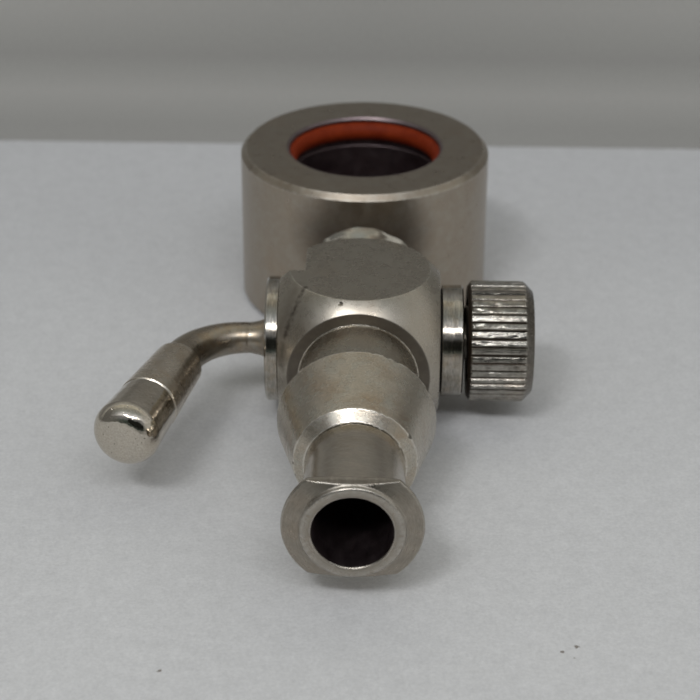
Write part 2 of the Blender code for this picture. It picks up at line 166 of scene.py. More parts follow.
def metal(
    name,
    roughness=0.34,
    tint=NICKEL,
    stain=0.35,
    lines=0.5,
    grain=0.5,
    mottle=0.10,
    wear=0.8,
    grime_and_shade=0.7,
    round_edges=0.0,
    pit=None,
    reach=0.7,
    lumps=0.0,
    streaks=0.0,
    tarnish=0.0,
    smudges_and_shade=(),
    shaded_face=None,
    line_tone=1.0,
    pits=0.0,
):
    """Worn nickel plate: stains, turning lines, blasted grain, bright edges, and dirt with painted shade in
    the corners.

    reach, in mm, is how near a neighbour has to be for its corner to get dirt and painted shade. A
    smudges_and_shade
    entry is (start, end, radius, strength): a dark streak, a stain with a painted reflection on some pieces
    and a
    painted shadow on others. shaded_face is (axis, start, full, strength): painted shade that starts at one
    coordinate and has its full strength at another. pit is the centre of one small pit, and pits is the
    strength of scattered ones. lumps and round_edges are in mm.
    """
    material, t, mm = new_material(name)
    edge = t.attribute("wear")
    xyz = t.add("ShaderNodeSeparateXYZ", {0: mm})
    x, y, z = xyz.outputs
    squeezed = [t.math("MULTIPLY", value, ACROSS_LINES) for value in (x, y)]
    turned = t.add("ShaderNodeCombineXYZ", {0: squeezed[0], 1: squeezed[1], 2: t.attribute("along")})

    blotch = t.noise(mm, 0.33, 4.0, 0.6)
    cloud = t.noise(mm, 1.3, 5.0, 0.6)
    speck = t.noise(mm, 9.0, 3.0, 0.6)
    fine = t.noise(mm, 34.0, 2.0, 0.6)
    coarse_lines = t.noise(turned, 5.0, 3.0, 0.7)
    fine_lines = t.noise(turned, 19.0, 4.0, 0.75)

    colour = t.mix(t.ramp(blotch, 0.50, 0.72, 0.0, stain), tint, STAIN)
    colour = t.mix(t.ramp(cloud, 0.45, 0.75, 0.0, stain * 0.8), colour, GREY_FILM)
    if tarnish:
        gilt = t.ramp(t.noise(mm, 0.9, 4.0, 0.65), 0.48, 0.62, 0.0, tarnish)
        colour = t.mix(gilt, colour, GOLD)
    shade = t.ramp(speck, 0.2, 0.8, 1.0 - mottle, 1.0 + mottle * 0.6)
    line_shade = t.ramp(coarse_lines, 0.25, 0.75, 1.0 - 0.10 * lines * line_tone, 1.0 + 0.06 * lines)
    shade = t.math("MULTIPLY", shade, line_shade)
    if line_tone > 1:
        shade = t.math("MULTIPLY", shade, t.ramp(fine_lines, 0.35, 0.62, 1.0 - 0.16 * line_tone, 1.12))
    if streaks:
        drawn = t.add("ShaderNodeCombineXYZ", {0: x, 1: y, 2: t.math("MULTIPLY", z, DRAWN_OUT)})
        drawn = t.noise(drawn, 6.5, 5.0, 0.75)
        shade = t.math("MULTIPLY", shade, t.ramp(drawn, 0.32, 0.66, 1.0 - 0.55 * streaks, 1.15))
    colour = t.mix(1.0, colour, shade, "MULTIPLY")

    if round_edges:
        bevel = t.add("ShaderNodeBevel", {"Radius": round_edges * MM}, samples=6)
        flat = t.add("ShaderNodeNewGeometry").outputs["True Normal"]
        edge = t.math("MAXIMUM", edge, t.ramp(t.dot(bevel, flat), 0.998, 0.965))
    worn = t.math("MULTIPLY", edge, t.ramp(t.noise(mm, 2.6, 4.0, 0.7), 0.32, 0.58), clamp=True)
    worn = t.math("MULTIPLY", worn, wear)
    colour = t.mix(worn, colour, BRIGHT)

    # Dirt and painted shade: the corners and hollows that ambient occlusion finds are darkened.
    hollow = t.add("ShaderNodeAmbientOcclusion", {"Distance": reach * MM}, samples=6)
    dirt_and_shade = t.ramp(hollow.outputs["AO"], 0.55, 0.15, 0.0, grime_and_shade)
    dirt_and_shade = t.math("MULTIPLY", dirt_and_shade, t.ramp(cloud, 0.3, 0.6, 0.45, 1.0))
    dirt_and_shade = t.math("MAXIMUM", dirt_and_shade, t.attribute("dirt_and_shade"))
    # Painted shade: one side of the piece, past a given coordinate, is darkened.
    if shaded_face:
        axis, start, full, strength = shaded_face
        shade_film = t.ramp(xyz.outputs[axis], start, full, 0.0, strength)
        dirt_and_shade = t.math("MAXIMUM", dirt_and_shade, t.math("MULTIPLY", shade_film, t.ramp(cloud, 0.25, 0.6, 0.75, 1.0)))
    # Dark streaks: a stain with a painted reflection on some pieces, a painted shadow on others.
    for start, end, radius, strength in smudges_and_shade:
        length = (Vector(end) - Vector(start)).length
        direction = (Vector(end) - Vector(start)) / length
        offset = t.add("ShaderNodeVectorMath", {0: mm, 1: start}, operation="SUBTRACT")
        share = t.math("MINIMUM", t.math("MAXIMUM", t.dot(offset, direction), 0.0), length)
        nearest = t.add("ShaderNodeVectorMath", {0: direction, 3: share}, operation="SCALE")
        away = t.distance(offset, nearest)
        fray = min(0.45 * radius, 0.16)
        ragged = t.ramp(t.noise(mm, 3.0, 4.0, 0.6), 0.3, 0.7, -fray, fray)
        dirt_and_shade = t.math("MAXIMUM", dirt_and_shade, t.ramp(t.math("ADD", away, ragged), radius, 0.0, 0.0, strength))
    colour = t.mix(dirt_and_shade, colour, GRIME_AND_SHADE)

    rough = t.math("ADD", roughness, t.ramp(cloud, 0.3, 0.7, -0.05, 0.07))
    rough = t.math("ADD", rough, t.ramp(fine_lines, 0.3, 0.7, -0.05 * lines, 0.05 * lines))
    rough = t.math("ADD", rough, t.math("MULTIPLY", dirt_and_shade, 0.3))
    rough = t.math("SUBTRACT", rough, t.math("MULTIPLY", worn, roughness * 0.45), clamp=True)

    height = t.math("MULTIPLY", fine_lines, 0.0040 * lines)
    height = t.math("ADD", height, t.math("MULTIPLY", coarse_lines, 0.0045 * lines))
    height = t.math("ADD", height, t.math("MULTIPLY", fine, 0.0030 * grain))
    height = t.math("ADD", height, t.math("MULTIPLY", speck, 0.0060 * grain))
    pocks = t.add("ShaderNodeTexVoronoi", {"Vector": mm, "Scale": 1.1, "Randomness": 1.0})
    pock = t.ramp(pocks.outputs["Distance"], 0.02, 0.09, -0.020, 0.0)
    height = t.math("ADD", height, t.math("MULTIPLY", pock, t.ramp(blotch, 0.52, 0.60)))
    if streaks:
        height = t.math("ADD", height, t.math("MULTIPLY", drawn, 0.024 * streaks))
    if pits:
        prick = t.add("ShaderNodeTexVoronoi", {"Vector": mm, "Scale": 3.2, "Randomness": 1.0})
        prick = t.ramp(prick.outputs["Distance"], 0.05, 0.16, pits, 0.0)
        prick = t.math("MULTIPLY", prick, t.ramp(cloud, 0.36, 0.50))
        height = t.math("SUBTRACT", height, t.math("MULTIPLY", prick, 0.020))
        colour = t.mix(t.math("MULTIPLY", prick, 0.6), colour, GRIME_AND_SHADE)
    if pit:
        away = t.distance(mm, pit)
        height = t.math("ADD", height, t.ramp(away, 0.04, 0.16, -0.06, 0.0))
        colour = t.mix(t.ramp(away, 0.03, 0.10, 0.7, 0.0), colour, GRIME_AND_SHADE)
    bump_inputs = {"Height": height, "Distance": MM, "Strength": 1.0}
    if lumps:
        swell = t.noise(mm, 1.9, 2.0, 0.5)
        bump_inputs["Height"] = t.math("ADD", height, t.math("MULTIPLY", swell, lumps))
    if round_edges:
        bump_inputs["Normal"] = bevel
    bump = t.add("ShaderNodeBump", bump_inputs)

    surface = {"Base Color": colour, "Metallic": 1.0, "Roughness": rough, "Normal": bump}
    finish_material(t, t.add("ShaderNodeBsdfPrincipled", surface))
    return material


def rubber(name, colour, deep, roughness, speckle=0.3):
    """Moulded rubber or filled plastic: soft mottling, dust and a faint moulding grain."""
    material, t, mm = new_material(name)
    cloud = t.noise(mm, 0.8, 4.0, 0.6)
    speck = t.noise(mm, 14.0, 3.0, 0.7)
    tone = t.mix(t.ramp(cloud, 0.3, 0.7), deep, colour)
    dust = t.ramp(speck, 0.66, 0.80, 0.0, speckle)
    tone = t.mix(dust, tone, DUST)
    rough = t.math("ADD", roughness, t.ramp(speck, 0.3, 0.8, -0.05, 0.12))
    bump = t.add("ShaderNodeBump", {"Height": speck, "Distance": 0.010 * MM, "Strength": 0.6})
    surface = {"Base Color": tone, "Roughness": rough, "Normal": bump, "Specular IOR Level": 0.10}
    finish_material(t, t.add("ShaderNodeBsdfPrincipled", surface))
    return material


# ---------------------------------------------------------------- shapes


def rounded_outline(corners, closed, default_round, steps=4):
    """Points (r, h, normal r, normal h, wear) along an outline, with an arc at each corner.

    A corner is (r, h), (r, h, rounding) or (r, h, rounding, wear).
    """
    count = len(corners)
    points = []

    def corner(i):
        return Vector(corners[i % count][:2])

    turning = 0.0
    for i in range(count):
        a, b = corner(i), corner(i + 1)
        turning += a.x * b.y - b.x * a.y
    side = 1.0 if turning > 0 else -1.0

    def normal_of(start, end):
        direction = (end - start).normalized()
        return Vector((direction.y, -direction.x)) * side

    for i in range(count):
        here = corner(i)
        spec = corners[i]
        rounding = spec[2] if len(spec) > 2 and spec[2] is not None else default_round
        edge_wear = spec[3] if len(spec) > 3 else 1.0
        if not closed and i in (0, count - 1):
            other = corner(1) if i == 0 else corner(count - 2)
            normal = normal_of(here, other) if i == 0 else normal_of(other, here)
            points.append((here.x, here.y, normal.x, normal.y, 0.0))
            continue
        before, after = corner(i - 1), corner(i + 1)
        back, ahead = before - here, after - here
        turn = math.pi - back.angle(ahead)
        limit = min(back.length, ahead.length) * 0.45
        inset = min(rounding * math.tan(turn / 2), limit)
        radius = inset / max(math.tan(turn / 2), 1e-6)
        start = here + back.normalized() * inset
        end = here + ahead.normalized() * inset
        n0, n1 = normal_of(before, here), normal_of(here, after)
        fade = min(0.10, limit - inset) if limit > inset else 0.0
        if fade > 0.01:
            far = start + back.normalized() * fade
            points.append((far.x, far.y, n0.x, n0.y, 0.0))
        convex = n0.cross(n1) * side > 0
        for k in range(steps + 1):
            share = k / steps
            angle = turn * share
            normal = (n0 * math.sin(turn - angle) + n1 * math.sin(angle)) / max(math.sin(turn), 1e-6)
            normal = normal.normalized() if normal.length > 1e-6 else n0
            if convex:
                at = start + (normal - n0) * radius
            else:
                at = start - (normal - n0) * radius
            points.append((at.x, at.y, normal.x, normal.y, edge_wear if convex else 0.0))
        if fade > 0.01:
            far = end + ahead.normalized() * fade
            points.append((far.x, far.y, n1.x, n1.y, 0.0))
    return points


HARD_EDGE = 28  # degrees between two faces


def store(mesh, name, values):
    attribute = mesh.attributes.new(name, "FLOAT", "POINT")
    attribute.data.foreach_set("value", values)


def bridge(rows, facets):
    """Faces between rows of vertices that go round a piece."""
    faces = []
    for i in range(rows - 1):
        a, b = i * facets, (i + 1) * facets
        for k in range(facets):
            j = (k + 1) % facets
            faces.append((a + k, a + j, b + j, b + k))
    return faces


def caps(rows, facets):
    """The two end faces of such a piece."""
    last = (rows - 1) * facets
    return [tuple(range(facets))[::-1], tuple(range(last, last + facets))]


def new_mesh(name, verts, faces, sharp=None):
    mesh = bpy.data.meshes.new(name)
    mesh.from_pydata(verts, [], faces)
    mesh.shade_smooth()
    if sharp:
        mesh.set_sharp_from_angle(angle=math.radians(sharp))
    return mesh


def make_object(name, mesh, matrix, materials):
    obj = bpy.data.objects.new(name, mesh)
    bpy.context.scene.collection.objects.link(obj)
    obj.matrix_world = matrix
    for material in materials:
        mesh.materials.append(material)
    return obj


def lathe(name, corners, matrix, materials, facets=192, rounding=0.04, inside=None, nick=None):
    """A turned piece. inside is a radius: faces nearer the axis take the second material.

    nick(angle) gives a small change of radius, for dents along an edge.
    """
    closed = not (corners[0][0] == 0 and corners[-1][0] == 0)
    outline = rounded_outline(corners, closed, rounding)
    verts, normals, wear, along, rings = [], [], [], [], []
    distance, previous = 0.0, None
    for r, h, nr, nh, edge in outline:
        if previous is not None:
            distance += math.hypot(r - previous[0], h - previous[1])
        previous = (r, h)
        if r < 1e-6:
            rings.append([len(verts)])
            verts.append((0, 0, h * MM))
            normals.append((0, 0, 1.0 if nh > 0 else -1.0))
            wear.append(edge)
            along.append(distance)
            continue
        ring = []
        for k in range(facets):
            angle = 2 * math.pi * k / facets
            c, s = math.cos(angle), math.sin(angle)
            radius = r + (nick(angle) * edge if nick else 0.0)
            ring.append(len(verts))
            verts.append((radius * c * MM, radius * s * MM, h * MM))
            normals.append((nr * c, nr * s, nh))
            wear.append(edge)
            along.append(distance)
        rings.append(ring)
    faces, spots = [], []
    for a, b in zip(rings, rings[1:] + rings[:1] if closed else rings[1:]):
        for k in range(facets):
            j = (k + 1) % facets
            if len(a) == 1:
                face = (a[0], b[k], b[j])
            elif len(b) == 1:
                face = (a[k], b[0], a[j])
            else:
                face = (a[k], b[k], b[j], a[j])
            faces.append(face)
            radii = [math.hypot(*verts[i][:2]) / MM for i in face]
            spots.append(1 if inside and sum(radii) / len(radii) < inside else 0)
    mesh = new_mesh(name, verts, faces)
    facing = mesh.polygons[len(faces) // 3]
    wanted = Vector(normals[facing.vertices[0]])
    if facing.normal.dot(wanted) < 0:
        mesh.flip_normals()
    mesh.polygons.foreach_set("material_index", spots)
    store(mesh, "wear", wear)
    store(mesh, "along", along)
    mesh.normals_split_custom_set_from_vertices(normals)
    return make_object(name, mesh, matrix, materials)


def cut(obj, *cutters):
    """Takes the cutters out of obj for good, and removes them."""
    for cutter in cutters:
        modifier = obj.modifiers.new("cut", "BOOLEAN")
        modifier.operation = "DIFFERENCE"
        modifier.solver = "EXACT"
        modifier.object = cutter
    bpy.context.view_layer.update()
    evaluated = obj.evaluated_get(bpy.context.evaluated_depsgraph_get())
    mesh = bpy.data.meshes.new_from_object(evaluated)
    obj.modifiers.clear()
    old = obj.data
    obj.data = mesh
    mesh.name = obj.name
    bpy.data.meshes.remove(old)
    for cutter in cutters:
        bpy.data.objects.remove(cutter)


def to_mesh(name, shape):
    mesh = bpy.data.meshes.new(name)
    shape.to_mesh(mesh)
    shape.free()
    return mesh


def box_cutter(low, high):
    shape = bmesh.new()
    bmesh.ops.create_cube(shape, size=1)
    bmesh.ops.scale(shape, vec=(Vector(high) - Vector(low)) * MM, verts=shape.verts)
    bmesh.ops.translate(shape, vec=(Vector(low) + Vector(high)) / 2 * MM, verts=shape.verts)
    return make_object("cutter", to_mesh("cutter", shape), CENTRE, [])


def rod_cutter(r0, r1, start, end, matrix, facets=96):
    shape = bmesh.new()
    bmesh.ops.create_cone(
        shape, cap_ends=True, segments=facets, radius1=r0 * MM, radius2=r1 * MM, depth=(end - start) * MM
    )
    bmesh.ops.translate(shape, vec=(0, 0, (start + end) / 2 * MM), verts=shape.verts)
    return make_object("cutter", to_mesh("cutter", shape), matrix, [])


def crisp(obj):
    """Smooth shading with hard edges, for a piece that has been cut."""
    obj.data.shade_smooth()
    obj.data.set_sharp_from_angle(angle=math.radians(HARD_EDGE))
    modifier = obj.modifiers.new("flat faces stay flat", "WEIGHTED_NORMAL")
    modifier.keep_sharp = True
    modifier.weight = 80


def tube(name, path, radii, materials, facets):
    """A round bar along a path, with its own radius at each point."""
    verts, along = [], []
    distance = 0.0
    up = Vector((0, 0, 1))
    for i, (point, radius) in enumerate(zip(path, radii)):
        before, after = path[max(i - 1, 0)], path[min(i + 1, len(path) - 1)]
        tangent = (after - before).normalized()
        across = tangent.cross(up).normalized()
        over = across.cross(tangent)
        if i:
            distance += (point - path[i - 1]).length
        for k in range(facets):
            angle = 2 * math.pi * k / facets
            verts.append((point + (across * math.cos(angle) + over * math.sin(angle)) * radius) * MM)
            along.append(distance)
    rows = len(path)
    mesh = new_mesh(name, verts, bridge(rows, facets) + caps(rows, facets), sharp=50)
    store(mesh, "along", along)
    return make_object(name, mesh, CENTRE, materials)


def settle(obj, body, slot, *nodes):
    """Joins a finished piece to its CAD body, in place of the nodes it stands for."""
    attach(obj, body)
    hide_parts(*nodes)


# ---------------------------------------------------------------- finishes

SATIN = metal(
    "satin_nickel",
    roughness=0.25,
    tint=rgb(0.51, 0.460, 0.385),
    lines=0.4,
    grain=1.0,
    stain=1.0,
    mottle=0.30,
)
SATIN_BALL = metal(
    "satin_nickel_ball",
    roughness=0.27,
    tint=rgb(0.435, 0.395, 0.335),
    lines=0.0,
    grain=0.55,
    round_edges=0.09,
    wear=0.85,
    pit=(-1.1, -4.45, 4.80),
    # A wide reach, for more painted shade round the outlet's neck.
    reach=1.4,
    # A stain with a painted reflection of the disc: dark streaks on the ball's left.
    smudges_and_shade=(
        ((-3.30, -2.70, 5.00), (-3.95, -3.70, 3.80), 0.28, 0.95),
        ((-3.95, -3.70, 3.80), (-4.50, -4.20, 2.50), 0.40, 0.85),
        ((-4.00, -2.60, 4.60), (-4.70, -3.80, 2.60), 1.00, 0.42),
        ((-4.60, -4.40, 1.90), (-4.75, -4.60, 0.60), 0.50, 0.50),
    ),
    # Painted shade on the front flat round the outlet.
    shaded_face=(1, -4.975, -4.985, 0.66),
)
HUB = metal(
    "hub_nickel",
    roughness=0.19,
    lines=0.35,
    grain=0.7,
    stain=0.45,
    tint=rgb(0.54, 0.485, 0.410),
    wear=0.85,
    line_tone=1.2,
    reach=0.5,
    round_edges=0.13,
    # Painted shade on the front faces of the flange and tip ring.
    shaded_face=(2, 21.15, 21.30, 0.41),
)
SATIN_RING = metal(
    "satin_nickel_ring",
    roughness=0.31,
    lines=0.3,
    grain=0.9,
    stain=0.45,
    tint=rgb(0.385, 0.330, 0.268),
    # A wide reach, for painted shade near the neck and body.
    reach=2.2,
    wear=0.30,
    # Painted shadow and reflection of the ball on the ring's side, round the neck.
    smudges_and_shade=(((-2.0, -8.4, 7.6), (2.0, -8.4, 7.6), 3.4, 0.80),),
)
TURNED = metal(
    "turned_nickel",
    roughness=0.10,
    tint=rgb(0.58, 0.545, 0.485),
    # Painted shade on the disc's outer face.
    shaded_face=(2, -5.84, -5.856, 0.55),
    lines=1.6,
    grain=0.05,
    stain=0.6,
    wear=0.5,
    tarnish=0.3,
    line_tone=2.4,
    reach=1.0,
)
POLISHED = metal(
    "polished_nickel",
    roughness=0.07,
    lines=0.15,
    grain=0.35,
    stain=0.35,
    wear=0.4,
    mottle=0.26,
    lumps=0.022,
    pits=1.0,
)
SOLDER = metal("bright_solder", roughness=0.11, tint=rgb(0.62, 0.59, 0.53), stain=0.7, lines=0.0, grain=0.5)
SLEEVE = metal(
    "lever_nickel",
    roughness=0.26,
    tint=rgb(0.67, 0.600, 0.510),
    lines=0.5,
    grain=0.6,
    stain=0.6,
    wear=0.9,
    tarnish=0.25,
    pits=0.35,
    lumps=0.012,
)
ROD = metal(
    "lever_rod_nickel",
    roughness=0.29,
    tint=rgb(0.36, 0.315, 0.258),
    lines=0.2,
    grain=0.6,
    stain=0.7,
    tarnish=0.3,
    lumps=0.010,
)
KNURL = metal(
    "knurled_nickel",
    roughness=0.16,
    tint=rgb(0.22, 0.203, 0.176),
    lines=0.0,
    grain=0.4,
    stain=0.5,
    wear=0.30,
    grime_and_shade=1.0,
    reach=0.45,
    streaks=0.9,
)
OILY = metal(
    "oily_steel",
    roughness=0.35,
    tint=rgb(0.20, 0.18, 0.15),
    stain=0.6,
    lines=0.2,
    grain=0.5,
    grime_and_shade=1.0,
)
# Painted shade: the inside of the bores takes this dark colour.
SHADED_BORE = metal(
    "painted_shade_bore",
    roughness=0.40,
    tint=rgb(0.210, 0.160, 0.168),
    stain=0.06,
    lines=1.2,
    grain=0.5,
    grime_and_shade=0.85,
    wear=0.12,
)
RED = rubber("red_silicone", rgb(0.240, 0.031, 0.007), rgb(0.150, 0.016, 0.004), 0.55)
BLACK = rubber("black_ptfe", rgb(0.020, 0.019, 0.018), rgb(0.011, 0.010, 0.010), 0.5, 0.15)


# ---------------------------------------------------------------- valve body

BALL_R, FLAT = 6.65, 5.0
PASSAGE_R, SOCKET_FLOOR = 1.5, 3.3
OUTLET_SOCKET_R, NECK_SOCKET_R = 2.58, 2.23
PLUG_BORE_LEFT_R, PLUG_BORE_RIGHT_R = 3.0, 2.4  # where the taper leaves the flats, 1 mm beyond them
NOTCH_X, NOTCH_WALL = -3.4, -0.4


def valve_body():
    """A ball with six flats. What is left of the ball is shaded as a true sphere."""
    shape = bmesh.new()
    bmesh.ops.create_uvsphere(shape, u_segments=224, v_segments=112, radius=BALL_R * MM)
    for axis in range(3):
        for sign in (1, -1):
            direction = Vector([sign if i == axis else 0 for i in range(3)])
            everything = shape.verts[:] + shape.edges[:] + shape.faces[:]
            made = bmesh.ops.bisect_plane(
                shape,
                geom=everything,
                dist=1e-8,
                plane_co=direction * FLAT * MM,
                plane_no=direction,
                clear_outer=True,
            )
            rim = [e for e in made["geom_cut"] if isinstance(e, bmesh.types.BMEdge)]
            bmesh.ops.holes_fill(shape, edges=rim)
    body = make_object("body_shell", to_mesh("body_shell", shape), CENTRE, [SATIN_BALL])
    reach = FLAT + 1
    cut(
        body,
        rod_cutter(PLUG_BORE_LEFT_R, PLUG_BORE_RIGHT_R, -reach, reach, ALONG_X),
        rod_cutter(PASSAGE_R, PASSAGE_R, -reach, reach, TO_OUTLET),
        rod_cutter(OUTLET_SOCKET_R, OUTLET_SOCKET_R, SOCKET_FLOOR, reach, TO_OUTLET),
        rod_cutter(NECK_SOCKET_R, NECK_SOCKET_R, SOCKET_FLOOR, reach, TO_RING),
        box_cutter((-reach, NOTCH_WALL, NOTCH_WALL), (NOTCH_X, BALL_R, BALL_R)),
    )
    mesh = body.data
    mesh.shade_smooth()
    mesh.set_sharp_from_angle(angle=math.radians(HARD_EDGE))
    normals = [Vector(n.vector) for n in mesh.corner_normals]
    for face in mesh.polygons:
        corners = [mesh.vertices[i].co for i in face.vertices]
        round_face = all(abs(co.length / MM - BALL_R) < 0.004 for co in corners)
        if round_face and face.normal.dot(face.center.normalized()) > 0.999:
            for loop, co in zip(face.loop_indices, corners):
                normals[loop] = co.normalized()
    mesh.normals_split_custom_set(normals)
    settle(body, "valve", "satin_nickel", "valve_body")


# ---------------------------------------------------------------- outlet and Luer hub


def edge_nicks(seed, depth):
    """Small dents along an edge: mostly none, a few deep."""

    def nick(angle):
        at = Vector((math.cos(angle) * 2.4, math.sin(angle) * 2.4, seed))
        ripple = noise.noise(at * 3.0) * 0.25 * depth
        dent = max(0.0, noise.noise(at * 5.0 + Vector((7, 3, seed))) - 0.35) * depth * 4.0
        return -abs(ripple) - dent

    return nick


def outlet():
    """The screwed-in neck and cone, as (radius, distance from the axes) from the bore outwards."""
    corners = [
        (2.3, 12.6),
        (2.3, 15.2),
        (2.92, 15.2, 0.05),
        (3.56, 14.72, 0.06),
        (4.72, 10.20, 0.10),
        (4.44, 9.90, 0.04),
        (3.66, 9.90, 0.03),
        (3.66, 5.07, 0.01),
        (3.72, 5.05, 0.02),
        (3.72, 5.00, 0.01),
        (2.5, 5.00),
        (2.5, 3.7),
        (1.5, 3.7),
        (1.5, 12.6),
    ]
    cone = lathe("outlet_shell", corners, TO_OUTLET, [SATIN, SHADED_BORE], inside=2.45, nick=edge_nicks(1.7, 0.08))
    settle(cone, "valve", "satin_nickel", "outlet_cone")


EAR_FLAT = 2.98  # half the height over the two flats of the flange


def luer_hub():
    """The socket's taper, the tip ring and a shallow cone on the flange's front."""
    corners = [
        (1.5, 14.4),
        (1.93, 14.4),
        (2.24, 21.88, 0.02),
        (2.31, 21.95, 0.02),
        (2.82, 21.95, 0.17),
        (2.93, 21.74, 0.04),
        (2.98, 21.71, 0.03),
        (3.85, 21.37, 0.04),
        (3.91, 21.28, 0.04),
        (3.91, 21.14, 0.05),
        (3.52, 20.98, 0.06),
        (2.86, 20.92, 0.12),
        (2.86, 15.24, 0.02),
        (2.2, 15.24),
        (2.2, 12.7),
        (1.5, 12.7),
    ]
    hub = lathe(
        "hub_shell", corners, TO_OUTLET, [HUB, SHADED_BORE], facets=224, inside=2.22, nick=edge_nicks(4.1, 0.03)
    )
    cut(
        hub,
        box_cutter((-5, -23, EAR_FLAT), (5, -20, 5)),
        box_cutter((-5, -23, -5), (5, -20, -EAR_FLAT)),
    )
    crisp(hub)
    settle(hub, "valve", "satin_nickel", "luer_hub")


# ---------------------------------------------------------------- sealing ring and neck


RING_BORE_R, GROOVE_R, GROOVE_LOW = 5.25, 6.15, 3.82
LIP = 0.33  # thickness of the lip over each groove
SEAL_R, SEAL_WIRE_R = 5.44, 0.70


def sealing_ring():
    """A ring with a groove and a seal near each end, and a port where the neck meets it."""
    low, high = RING_LOW.z, RING_HIGH.z
    middle = (low + high) / 2
    half = (high - low) / 2
    upper = [
        (RING_BORE_R - 0.05, 3.34, 0.02),
        (RING_BORE_R, 3.38, 0.02),
        (RING_BORE_R, GROOVE_LOW, 0.03),
        (GROOVE_R, GROOVE_LOW, 0.05),
        (GROOVE_R, half - LIP, 0.05),
        (RING_BORE_R, half - LIP, 0.04),
        (RING_BORE_R, half - 0.15, 0.03),
        (5.37, half, 0.04),
        (RING_R - 0.36, half, 0.05),
        (RING_R, half - 0.38, 0.06),
    ]
    lower = [(r, -h, rounding) for r, h, rounding in reversed(upper)]
    corners = [(r, h + middle, rounding) for r, h, rounding in upper + lower]
    ring = lathe(
        "ring_shell",
        corners,
        IN_RING,
        [SATIN_RING, SHADED_BORE],
        facets=288,
        inside=6.3,
        nick=edge_nicks(9.3, 0.02),
    )
    cut(ring, rod_cutter(PASSAGE_R, PASSAGE_R, RING_Y - 7.5, RING_Y - 3, TO_RING, 64))
    crisp(ring)
    settle(ring, "valve", "satin_nickel", "collar_ring")
    for side, node in ((1, "upper_bore_seal"), (-1, "lower_bore_seal")):
        seal = o_ring(node + "_rubber", SEAL_R, SEAL_WIRE_R)
        height = middle + side * (half - LIP - SEAL_WIRE_R - 0.02)
        seal.matrix_world = IN_RING @ Matrix.Translation((0, 0, height * MM))
        settle(seal, "valve", "red_silicone", node)


def o_ring(name, ring_r, wire_r):
    """A round ring with the faint mould line that a pressed O-ring has inside and outside."""
    verts, faces = [], []
    big, small = 192, 40  # points round the ring and round the wire
    for i in range(big):
        u = 2 * math.pi * i / big
        for k in range(small):
            v = 2 * math.pi * k / small
            flash = 0.015 * math.exp(-((math.sin(v) / 0.10) ** 2))
            wobble = 0.012 * noise.noise(Vector((math.cos(u) * 2, math.sin(u) * 2, v)))
            r = wire_r + flash + wobble
            out = ring_r + r * math.cos(v)
            verts.append((out * math.cos(u) * MM, out * math.sin(u) * MM, r * math.sin(v) * MM))
            a, b = i * small, (i + 1) % big * small
            faces.append((a + k, b + k, b + (k + 1) % small, a + (k + 1) % small))
    return make_object(name, new_mesh(name, verts, faces), CENTRE, [RED])


def neck_ferrule():
    """A bright, lumpy flare that meets the round side of the ring."""
    verts, along = [], []
    stations, facets = 40, 128
    for i in range(stations):
        share = i / (stations - 1)
        flare = 2.74 + 0.95 * share**3.4 + 0.20 * (1 - share) ** 6
        for k in range(facets):
            angle = 2 * math.pi * k / facets
            at = Vector((math.cos(angle) * 1.7, math.sin(angle) * 1.7, share * 3.0))
            lump = 0.17 * noise.noise(at * 1.2) + 0.06 * noise.noise(at * 2.9)
            radius = flare + lump * (0.35 + share)
            x, z = radius * math.cos(angle), radius * math.sin(angle)
            end = RING_Y - math.sqrt(RING_R**2 - x**2) + 0.12
            y = FLAT - 0.03 + (end - FLAT + 0.03) * share
            verts.append((x * MM, y * MM, z * MM))
            along.append(y)
    mesh = new_mesh("ferrule_flare", verts, bridge(stations, facets) + caps(stations, facets))
    store(mesh, "along", along)
    flare = make_object("ferrule_flare", mesh, CENTRE, [SOLDER])
    settle(flare, "valve", "polished_nickel", "neck_ferrule")


# ---------------------------------------------------------------- lever

ELBOW_X, BEND_R, LEVER_ANGLE = -10.2, 4.0, math.radians(75)
DISC_INSIDE, DISC_OUTSIDE, DISC_R = -5.03, -5.86, 3.95
ROD_R, FLARE, ROOT_LENGTH, ROD_END_R = 0.97, 0.44, 1.28, 1.25
SLEEVE_START, SLEEVE_LENGTH = 3.48, 5.5
TIP_LENGTH, TIP_R, TIP_ROUNDING, TIP_DOME = 3.16, 2.02, 1.1, 5.0


def lever_axis():
    return Vector((-math.cos(LEVER_ANGLE), -math.sin(LEVER_ANGLE), 0))


def lever_frame(distance):
    """Local Z runs along the handle, from a point that far past the elbow."""
    along = lever_axis()
    turn = along.to_track_quat("Z", "Y").to_matrix().to_4x4()
    return CENTRE @ Matrix.Translation((Vector((ELBOW_X, 0, 0)) + along * distance) * MM) @ turn


def lever_disc():
    disc = lathe(
        "disc_plate",
        [
            (0, DISC_INSIDE),
            (DISC_R - 0.04, DISC_INSIDE, 0.04),
            (DISC_R, DISC_INSIDE - 0.05, 0.04),
            (DISC_R, DISC_OUTSIDE + 0.12, 0.05),
            (DISC_R - 0.14, DISC_OUTSIDE, 0.05),
            (0, DISC_OUTSIDE),
        ],
        ALONG_X,
        [TURNED],
        nick=edge_nicks(6.6, 0.03),
    )
    settle(disc, "turning_plug", "polished_nickel", "lever_disc")


